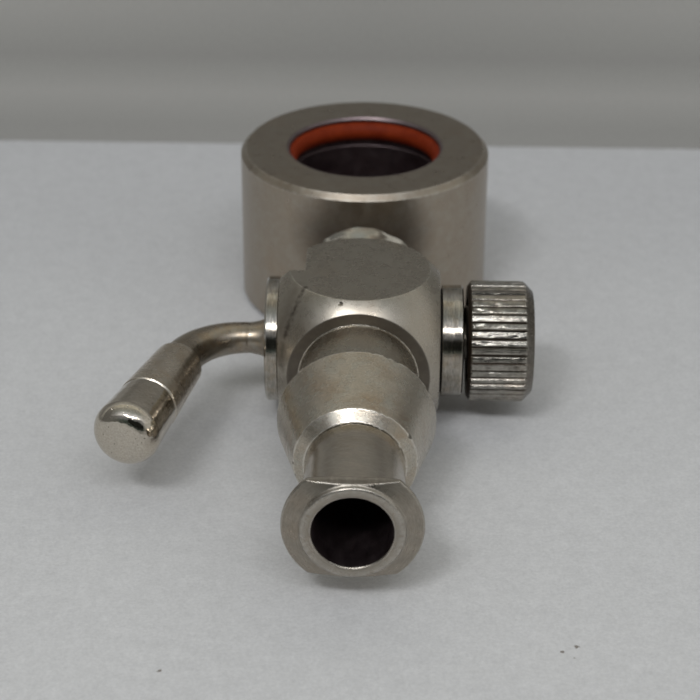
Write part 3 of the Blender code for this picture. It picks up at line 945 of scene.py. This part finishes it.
def lever_arm():
    """A bent rod that flares where it meets the disc and thickens towards the sleeve."""
    along = lever_axis()
    elbow = Vector((ELBOW_X, 0, 0))
    tangent = BEND_R * math.tan(LEVER_ANGLE / 2)
    centre = Vector((ELBOW_X + tangent, -BEND_R, 0))
    path, radii = [], []
    root, bend = 18, 40  # steps along the flared root and round the bend
    for i in range(root + 1):
        share = i / root
        path.append(Vector((DISC_OUTSIDE + 0.06 - ROOT_LENGTH * share**1.7, 0, 0)))
        radii.append(ROD_R + FLARE * (1 - share) ** 1.3)
    for i in range(bend + 1):
        angle = LEVER_ANGLE * i / bend
        path.append(centre + BEND_R * Vector((-math.sin(angle), math.cos(angle), 0)))
        radii.append(ROD_R + 0.02 + 0.25 * (i / bend) ** 1.4)
    path.append(elbow + along * (SLEEVE_START + 0.5))
    radii.append(ROD_END_R)
    arm = tube("arm_rod", path, radii, [ROD], facets=72)
    settle(arm, "turning_plug", "satin_nickel", "lever_arm")


def lever_grip():
    """The tapered sleeve and the polished tip, whose dome meets its side in a rounded edge."""
    sleeve = lathe(
        "sleeve_shell",
        [
            (0, 0.0),
            (1.26, 0.0),
            (1.56, 0.34, 0.08),
            (1.86, SLEEVE_LENGTH - 0.08, 0.05),
            (1.78, SLEEVE_LENGTH, 0.04),
            (0, SLEEVE_LENGTH),
        ],
        lever_frame(SLEEVE_START),
        [SLEEVE],
        facets=160,
        nick=edge_nicks(2.2, 0.03),
    )
    settle(sleeve, "turning_plug", "satin_nickel", "lever_sleeve")
    from_axis = TIP_R - TIP_ROUNDING
    blend = math.asin(from_axis / (TIP_DOME - TIP_ROUNDING))
    dome_centre = TIP_LENGTH - (TIP_DOME - TIP_ROUNDING) * math.cos(blend)
    dome = [(0.0, dome_centre + TIP_DOME)]
    for i in range(1, 13):
        angle = blend * i / 12
        dome.append((TIP_DOME * math.sin(angle), dome_centre + TIP_DOME * math.cos(angle), 0.5, 0.0))
    for i in range(1, 33):
        angle = blend + (math.pi / 2 - blend) * i / 32
        radius = from_axis + TIP_ROUNDING * math.sin(angle)
        dome.append((radius, TIP_LENGTH + TIP_ROUNDING * math.cos(angle), 0.5, 0.0))
    tip = lathe(
        "tip_dome",
        dome + [(1.83, 0.10, 0.04), (1.77, 0.03, 0.03), (0, 0.03)],
        lever_frame(SLEEVE_START + SLEEVE_LENGTH),
        [POLISHED],
        facets=160,
    )
    settle(tip, "turning_plug", "polished_nickel", "lever_tip")


# ---------------------------------------------------------------- collar, spring and nut

COLLAR_X, COLLAR_END, COLLAR_R = 5.31, 6.49, 3.53
COLLAR_LIP = 0.15  # the collar's rim reaches over the washer
NUT_X, NUT_END, NUT_R = 6.77, 10.86, 3.82
NUT_BORE_R, NUT_FLOOR, STUD_HOLE_R, STUD_HOLE_END = 2.75, 8.45, 1.25, 10.2
TEETH, KNURL_DEPTH = 45, 0.17


def collar_and_washer():
    collar = lathe(
        "collar_plate",
        [
            (2.0, COLLAR_END),
            (2.0, COLLAR_X),
            (COLLAR_R - 0.21, COLLAR_X),
            (COLLAR_R - 0.16, COLLAR_X - COLLAR_LIP, 0.02),
            (COLLAR_R - 0.03, COLLAR_X - COLLAR_LIP, 0.02),
            (COLLAR_R, COLLAR_X - COLLAR_LIP + 0.03, 0.02),
            (COLLAR_R, COLLAR_END - 0.10, 0.05),
            (COLLAR_R - 0.12, COLLAR_END, 0.05),
        ],
        ALONG_X,
        [TURNED],
        nick=edge_nicks(3.8, 0.02),
    )
    settle(collar, "turning_plug", "polished_nickel", "keyed_collar")
    washer = lathe(
        "washer_black",
        [(2.6, 5.28), (2.6, 5.03), (3.28, 5.03), (3.28, 5.28)],
        ALONG_X,
        [BLACK],
        rounding=0.06,
    )
    settle(washer, "turning_plug", "black_ptfe", "thrust_washer")


def spring():
    """The wire coils between the collar and the seat, over the length of the CAD spring at rest."""
    wire_r, coil_r, turns, steps, facets = 0.22, 2.0, 2.5, 150, 16
    low, high = (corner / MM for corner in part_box("spring"))
    start, end = low.x + wire_r, high.x - wire_r
    path = []
    for i in range(steps + 1):
        share = i / steps
        angle = 2 * math.pi * turns * share
        x = start + (end - start) * share
        path.append(Vector((x, coil_r * math.cos(angle), coil_r * math.sin(angle))))
    verts, along = [], []
    for i, point in enumerate(path):
        tangent = (path[min(i + 1, steps)] - path[max(i - 1, 0)]).normalized()
        out = Vector((0, point.y, point.z)).normalized()
        side = tangent.cross(out).normalized()
        for k in range(facets):
            angle = 2 * math.pi * k / facets
            offset = (out * math.cos(angle) + side * math.sin(angle)) * wire_r
            verts.append((point + offset) * MM + Vector((0, 0, AXIS_Z * MM)))
            along.append(i * 0.1)
    mesh = new_mesh("spring_wire", verts, bridge(steps + 1, facets) + caps(steps + 1, facets))
    store(mesh, "along", along)
    wire = make_object("spring_wire", mesh, Matrix.Identity(4), [OILY])
    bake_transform(wire)
    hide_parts("spring")


def knurled_nut():
    """Straight V grooves cut into a turned blank, with every ridge worn a little differently."""
    rng = random.Random(5)
    per_tooth = 16
    around = TEETH * per_tooth
    ridge_loss = [rng.uniform(0.0, 0.05) for _ in range(TEETH)]
    skew = [rng.uniform(-0.04, 0.04) for _ in range(TEETH)]
    lean = [rng.uniform(-0.10, 0.10) for _ in range(TEETH)]
    width = [rng.uniform(0.15, 0.23) for _ in range(TEETH)]
    depth = [KNURL_DEPTH * rng.uniform(0.85, 1.1) for _ in range(TEETH)]
    drawn = [rng.uniform(-0.0020, 0.0020) for _ in range(around)]

    def knurl(column):
        tooth, part = divmod(column, per_tooth)
        position = part / per_tooth + skew[tooth] * 0.4
        from_groove = min(position, 1 - position)
        groove = min(1.0, max(0.0, 1 - from_groove / width[tooth]))
        across = position - 0.5
        crown = lean[tooth] * across + 0.05 * across**2
        return NUT_R - (ridge_loss[tooth] + crown) * (1 - groove) - depth[tooth] * groove + drawn[column]

    def blank(x):
        left = NUT_R - 0.32 + (x - NUT_X) * 1.3
        right = NUT_R - 0.60 + (NUT_END - x) * 1.02
        return min(NUT_R + 0.1, left, right)

    xs = [NUT_X + 0.40 * (i / 14) for i in range(14)]
    xs += [NUT_X + 0.40 + (NUT_END - NUT_X - 1.0) * (i / 22) for i in range(22)]
    xs += [NUT_END - 0.60 * (1 - i / 18) for i in range(19)]
    verts, along, wear, dirt_and_shade = [], [], [], []
    for x in xs:
        for column in range(around):
            angle = 2 * math.pi * column / around
            ridge = knurl(column)
            dent = noise.noise(Vector((x * 2.0, math.cos(angle) * 14, math.sin(angle) * 14)))
            bite = max(0.0, dent - 0.30) * 0.16
            radius = min(ridge - bite * max(0.0, (ridge - NUT_R + 0.12) / 0.12), blank(x))
            verts.append((radius * math.cos(angle) * MM, radius * math.sin(angle) * MM, x * MM))
            along.append(x)
            wear.append(max(0.0, min(1.0, (radius - NUT_R + 0.14) / 0.08)))
            # Dirt and painted shade at the bottom of each groove.
            groove_dirt_and_shade = 1.0 - max(0.0, min(1.0, (radius - NUT_R + KNURL_DEPTH - 0.040) / 0.070))
            dirt_and_shade.append(groove_dirt_and_shade if x < NUT_END - 0.55 else groove_dirt_and_shade * 0.3)
    rows = len(xs)
    faces = bridge(rows, around)

    def close_end(rim, steps, flow, dirt_and_shade_level):
        """Rings from a rim to the last of steps, (radius, x), and a face across that one."""
        for r, x in steps:
            ring = list(range(len(verts), len(verts) + around))
            for k in range(around):
                angle = 2 * math.pi * k / around
                verts.append((r * math.cos(angle) * MM, r * math.sin(angle) * MM, x * MM))
                along.append(flow(r, x))
                wear.append(0.0)
                dirt_and_shade.append(dirt_and_shade_level)
            for k in range(around):
                j = (k + 1) % around
                faces.append((rim[k], rim[j], ring[j], ring[k]))
            rim = ring
        faces.append(tuple(rim))

    inner = (
        (NUT_BORE_R, NUT_X),
        (NUT_BORE_R, NUT_FLOOR),
        (STUD_HOLE_R, NUT_FLOOR),
        (STUD_HOLE_R, STUD_HOLE_END),
    )
    outer = ((2.9, NUT_END), (0.9, NUT_END), (0.55, NUT_END - 0.12))
    # Dirt and painted shade on the faces inside the nut.
    close_end(range(around), inner, lambda r, x: x + r, 0.9)
    close_end(range((rows - 1) * around, rows * around), outer, lambda r, x: 20 - r, 0.0)
    mesh = bpy.data.meshes.new("nut_knurled")
    mesh.from_pydata(verts, [], faces)
    shape = bmesh.new()
    shape.from_mesh(mesh)
    bmesh.ops.recalc_face_normals(shape, faces=shape.faces)
    shape.to_mesh(mesh)
    shape.free()
    mesh.shade_smooth()
    mesh.set_sharp_from_angle(angle=math.radians(32))
    store(mesh, "along", along)
    store(mesh, "wear", wear)
    store(mesh, "dirt_and_shade", dirt_and_shade)
    nut = make_object("nut_knurled", mesh, ALONG_X, [KNURL])
    settle(nut, "nut", "polished_nickel", "knurled_nut")


# ---------------------------------------------------------------- pieces that keep their CAD shape


def paint_frame_nodes():
    finishes = {
        "plug": OILY,
        "stop_lug": POLISHED,
        "neck_tube": SATIN,
        "outlet_seal": BLACK,
        "spring_seat": OILY,
    }
    for name, material in finishes.items():
        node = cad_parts[name]
        node.data.materials.clear()
        node.data.materials.append(material)


# ---------------------------------------------------------------- table, backdrop, light and camera

CAMERA_AT = Vector((1.541, -108.897, 58.904 + AXIS_Z))
PITCH, YAW, ROLL = math.radians(28.73), math.radians(-1.132), math.radians(0.279)
LENS = 100.32
FOCUS_Y = -15.0
F_STOP = 95.0  # high, because the valve is only 48 mm long and 12 cm away
STAGE_HALF, TABLE_END, BOARD_Y, BOARD_TOP = 900, 300, 44.0, 90
LAMP_DISTANCE, LAMP_HEIGHT, LAMP_ELEVATION = 700, 66, 48.6
DAYLIGHT = (0.98, 0.99, 1.0)


def one_sided(t, shader):
    """Seen from behind, the surface lets the view through."""
    back = t.add("ShaderNodeNewGeometry").outputs["Backfacing"]
    clear = t.add("ShaderNodeBsdfTransparent")
    return t.add("ShaderNodeMixShader", {0: back, 1: shader.outputs[0], 2: clear.outputs[0]})


def colour_bands(t, value, stops):
    """A colour ramp through stops, (position, r, g, b)."""
    node = t.add("ShaderNodeValToRGB", {0: value})
    elements = node.color_ramp.elements
    while len(elements) < len(stops):
        elements.new(0.5)
    for element, (position, r, g, b) in zip(elements, stops):
        element.position = position
        element.color = rgb(r, g, b)
    return node.outputs[0]


def flat_stage(name, corners, material):
    mesh = bpy.data.meshes.new(name)
    mesh.from_pydata([Vector(c) * MM for c in corners], [], [(0, 1, 2, 3)])
    make_object(name, mesh, Matrix.Identity(4), [material])


def table():
    """Pale, slightly mottled paper with four crumbs on it, with painted shade: darker towards the back."""
    material, t, mm = new_material("table_paper")
    cloud = t.noise(mm, 0.05, 3.0)
    fibre = t.noise(mm, 4.5, 6.0, 0.75)
    patch = t.noise(mm, 0.9, 5.0, 0.7)
    tone = t.mix(t.ramp(cloud, 0.3, 0.7), rgb(0.660, 0.660, 0.668), rgb(0.690, 0.690, 0.696))
    tone = t.mix(1.0, tone, t.ramp(fibre, 0.25, 0.75, 0.86, 1.11), "MULTIPLY")
    tone = t.mix(1.0, tone, t.ramp(patch, 0.25, 0.75, 0.93, 1.05), "MULTIPLY")
    # Painted shade: the paper gets darker towards the back.
    depth = t.add("ShaderNodeSeparateXYZ", {0: mm}).outputs[1]
    tone = t.mix(1.0, tone, t.ramp(depth, -30.0, 44.0, 1.01, 0.93), "MULTIPLY")
    for x, y, radius in ((11.3, -25.2, 0.10), (12.1, -24.7, 0.15), (11.9, -25.7, 0.08), (-10.0, -27.4, 0.13)):
        away = t.distance(mm, (x, y, RING_LOW.z))
        crumb = t.math("ADD", away, t.ramp(fibre, 0.3, 0.7, -radius, radius))
        tone = t.mix(t.ramp(crumb, radius, radius * 0.5, 0.0, 0.8), tone, rgb(0.14, 0.11, 0.08))
    bump = t.add("ShaderNodeBump", {"Height": fibre, "Distance": 0.04 * MM, "Strength": 0.6})
    shader = t.add("ShaderNodeBsdfPrincipled", {"Base Color": tone, "Roughness": 0.65, "Normal": bump})
    finish_material(t, one_sided(t, shader))
    half, z = STAGE_HALF, RING_LOW.z
    corners = [(-half, -half, z), (half, -half, z), (half, TABLE_END, z), (-half, TABLE_END, z)]
    flat_stage("table", corners, material)


def backdrop():
    """A grey-beige board behind the ring, its grey painted in bands of light and shade by height. Its upper
    part, out of view, is painted brighter and shows in reflections.
    """
    half, top, z = STAGE_HALF, BOARD_TOP, RING_LOW.z
    material, t, mm = new_material("backdrop_board")
    xyz = t.add("ShaderNodeSeparateXYZ", {0: mm})
    height = xyz.outputs[2]
    weave = t.noise(mm, 3.0, 5.0, 0.75)
    sideways = t.math("ABSOLUTE", xyz.outputs[0])
    # (height, grey) of the board's bands of painted light and shade
    bands = (
        (0, 0.375),
        (1.6, 0.370),
        (4.4, 0.435),
        (7.6, 0.345),
        (12, 0.415),
        (15, 0.400),
        (19, 0.30),
        (26, 0.245),
        (30, 0.31),
        (35, 0.325),
        (46, 0.42),
        (58, 0.54),
        (top, 0.70),
    )
    stops = [(at / top, grey, grey * 0.975, grey * 0.915) for at, grey in bands]
    tone = colour_bands(t, t.ramp(height, 0.0, top), stops)
    tone = t.mix(1.0, tone, t.ramp(weave, 0.25, 0.75, 0.93, 1.06), "MULTIPLY")
    # From 6 mm up, in full from 14 mm, the grey is a little darker in the middle.
    middle = t.ramp(sideways, 0.0, 26.0, 0.95, 1.03)
    tone = t.mix(t.ramp(height, 6.0, 14.0), tone, t.mix(1.0, tone, middle, "MULTIPLY"))
    shader = t.add("ShaderNodeBsdfPrincipled", {"Base Color": tone, "Roughness": 0.8})
    finish_material(t, one_sided(t, shader))
    y = BOARD_Y
    corners = [(-half, y, z), (half, y, z), (half, y, z + top), (-half, y, z + top)]
    flat_stage("backdrop", corners, material)


def room_light():
    """The room as bands of brightness: 0 degrees is level behind the camera and 90 is overhead."""
    world = bpy.data.worlds.new("room")
    bpy.context.scene.world = world
    world.use_nodes = True
    t = Tree(world.node_tree)
    direction = t.add("ShaderNodeTexCoord").outputs["Generated"]
    xyz = t.add("ShaderNodeSeparateXYZ", {0: direction})
    forward = t.math("MULTIPLY", xyz.outputs[1], -1.0)
    angle = t.math("ARCTAN2", xyz.outputs[2], forward)
    turn = t.ramp(angle, -math.pi, math.pi)
    bands = (
        (-180, 0.12, 0.11, 0.10),
        (-60, 0.16, 0.15, 0.14),
        (-8, 0.22, 0.21, 0.19),
        (-4, 0.050, 0.062, 0.056),
        (20, 0.050, 0.066, 0.060),
        (28, 0.18, 0.19, 0.20),
        (43, 0.20, 0.21, 0.23),
        (46, 0.86, 0.88, 0.93),
        (56, 0.74, 0.77, 0.82),
        (67, 0.50, 0.53, 0.55),
        (76, 0.29, 0.31, 0.30),
        (94, 0.30, 0.30, 0.27),
        (107, 0.50, 0.49, 0.43),
        (130, 0.42, 0.41, 0.37),
        (160, 0.15, 0.14, 0.12),
        (180, 0.12, 0.11, 0.10),
    )
    stops = [((degrees + 180) / 360, r, g, b) for degrees, r, g, b in bands]
    over = colour_bands(t, turn, stops)
    sideways = t.math("ABSOLUTE", xyz.outputs[0])
    wall = t.ramp(xyz.outputs[0], -0.9, 0.9, 0.13, 0.46)
    wall = t.add("ShaderNodeCombineColor", {0: wall, 1: wall, 2: t.math("MULTIPLY", wall, 0.96)})
    colour = t.mix(t.ramp(sideways, 0.45, 0.85), over, wall.outputs[0])
    background = t.add("ShaderNodeBackground", {"Color": colour, "Strength": 1.17})
    t.add("ShaderNodeOutputWorld", {"Surface": background})


def soft_box(name, azimuth, width, radiance):
    """A rectangular lamp facing the valve, above and behind the camera."""
    a, e = math.radians(azimuth), math.radians(LAMP_ELEVATION)
    back = Vector((math.sin(a) * math.cos(e), -math.cos(a) * math.cos(e), math.sin(e)))
    data = bpy.data.lights.new(name, "AREA")
    data.shape = "RECTANGLE"
    data.size, data.size_y = width * MM, LAMP_HEIGHT * MM
    data.energy = radiance * math.pi * data.size * data.size_y
    data.color = DAYLIGHT
    lamp = bpy.data.objects.new(name, data)
    bpy.context.scene.collection.objects.link(lamp)
    lamp.location = back * LAMP_DISTANCE * MM
    lamp.rotation_mode = "QUATERNION"
    lamp.rotation_quaternion = back.to_track_quat("Z", "Y")


def shaded_foreground():
    """A dark bulk over the table, behind the camera: it shades the table and shows in reflections."""
    material, t, mm = new_material("black_flag")
    fabric = t.noise(mm, 0.3, 2.0)
    tone = t.mix(fabric, rgb(0.016, 0.020, 0.018), rgb(0.030, 0.034, 0.031))
    finish_material(t, t.add("ShaderNodeBsdfPrincipled", {"Base Color": tone, "Roughness": 0.8}))
    shape = bmesh.new()
    bmesh.ops.create_cube(shape, size=1)
    bmesh.ops.bevel(shape, geom=shape.edges[:], offset=0.12, segments=3, profile=0.5, affect="EDGES")
    bmesh.ops.scale(shape, vec=Vector((104, 70, 50)) * MM, verts=shape.verts)
    place = Matrix.Translation(Vector((6, -150, 49)) * MM)
    flag = make_object("black_flag", to_mesh("black_flag", shape), place, [material])
    flag.visible_camera = False


def camera():
    data = bpy.data.cameras.new("camera")
    data.lens = LENS
    data.sensor_width = 36.0
    data.clip_start, data.clip_end = 0.001, 10
    cam = bpy.data.objects.new("camera", data)
    bpy.context.scene.collection.objects.link(cam)
    forward = Vector(
        (math.sin(YAW) * math.cos(PITCH), math.cos(YAW) * math.cos(PITCH), -math.sin(PITCH))
    )
    right = Vector((math.cos(YAW), -math.sin(YAW), 0))
    up = right.cross(forward)
    right, up = (
        math.cos(ROLL) * right + math.sin(ROLL) * up,
        -math.sin(ROLL) * right + math.cos(ROLL) * up,
    )
    turn = Matrix((right, up, -forward)).transposed().to_4x4()
    cam.matrix_world = Matrix.Translation(CAMERA_AT * MM) @ turn
    bpy.context.scene.camera = cam
    focus = bpy.data.objects.new("focus_point", None)
    focus.location = Vector((0, FOCUS_Y, AXIS_Z)) * MM
    bpy.context.scene.collection.objects.link(focus)
    data.dof.use_dof = True
    data.dof.focus_object = focus
    data.dof.aperture_fstop = F_STOP


valve_body()
outlet()
luer_hub()
sealing_ring()
neck_ferrule()
lever_disc()
lever_arm()
lever_grip()
collar_and_washer()
spring()
knurled_nut()
paint_frame_nodes()
table()
backdrop()
room_light()
soft_box("window_bright", azimuth=-24, width=160, radiance=28.5)
soft_box("window_dim", azimuth=5, width=480, radiance=9.1)
shaded_foreground()
camera()
bpy.context.scene.view_settings.view_transform = "Standard"
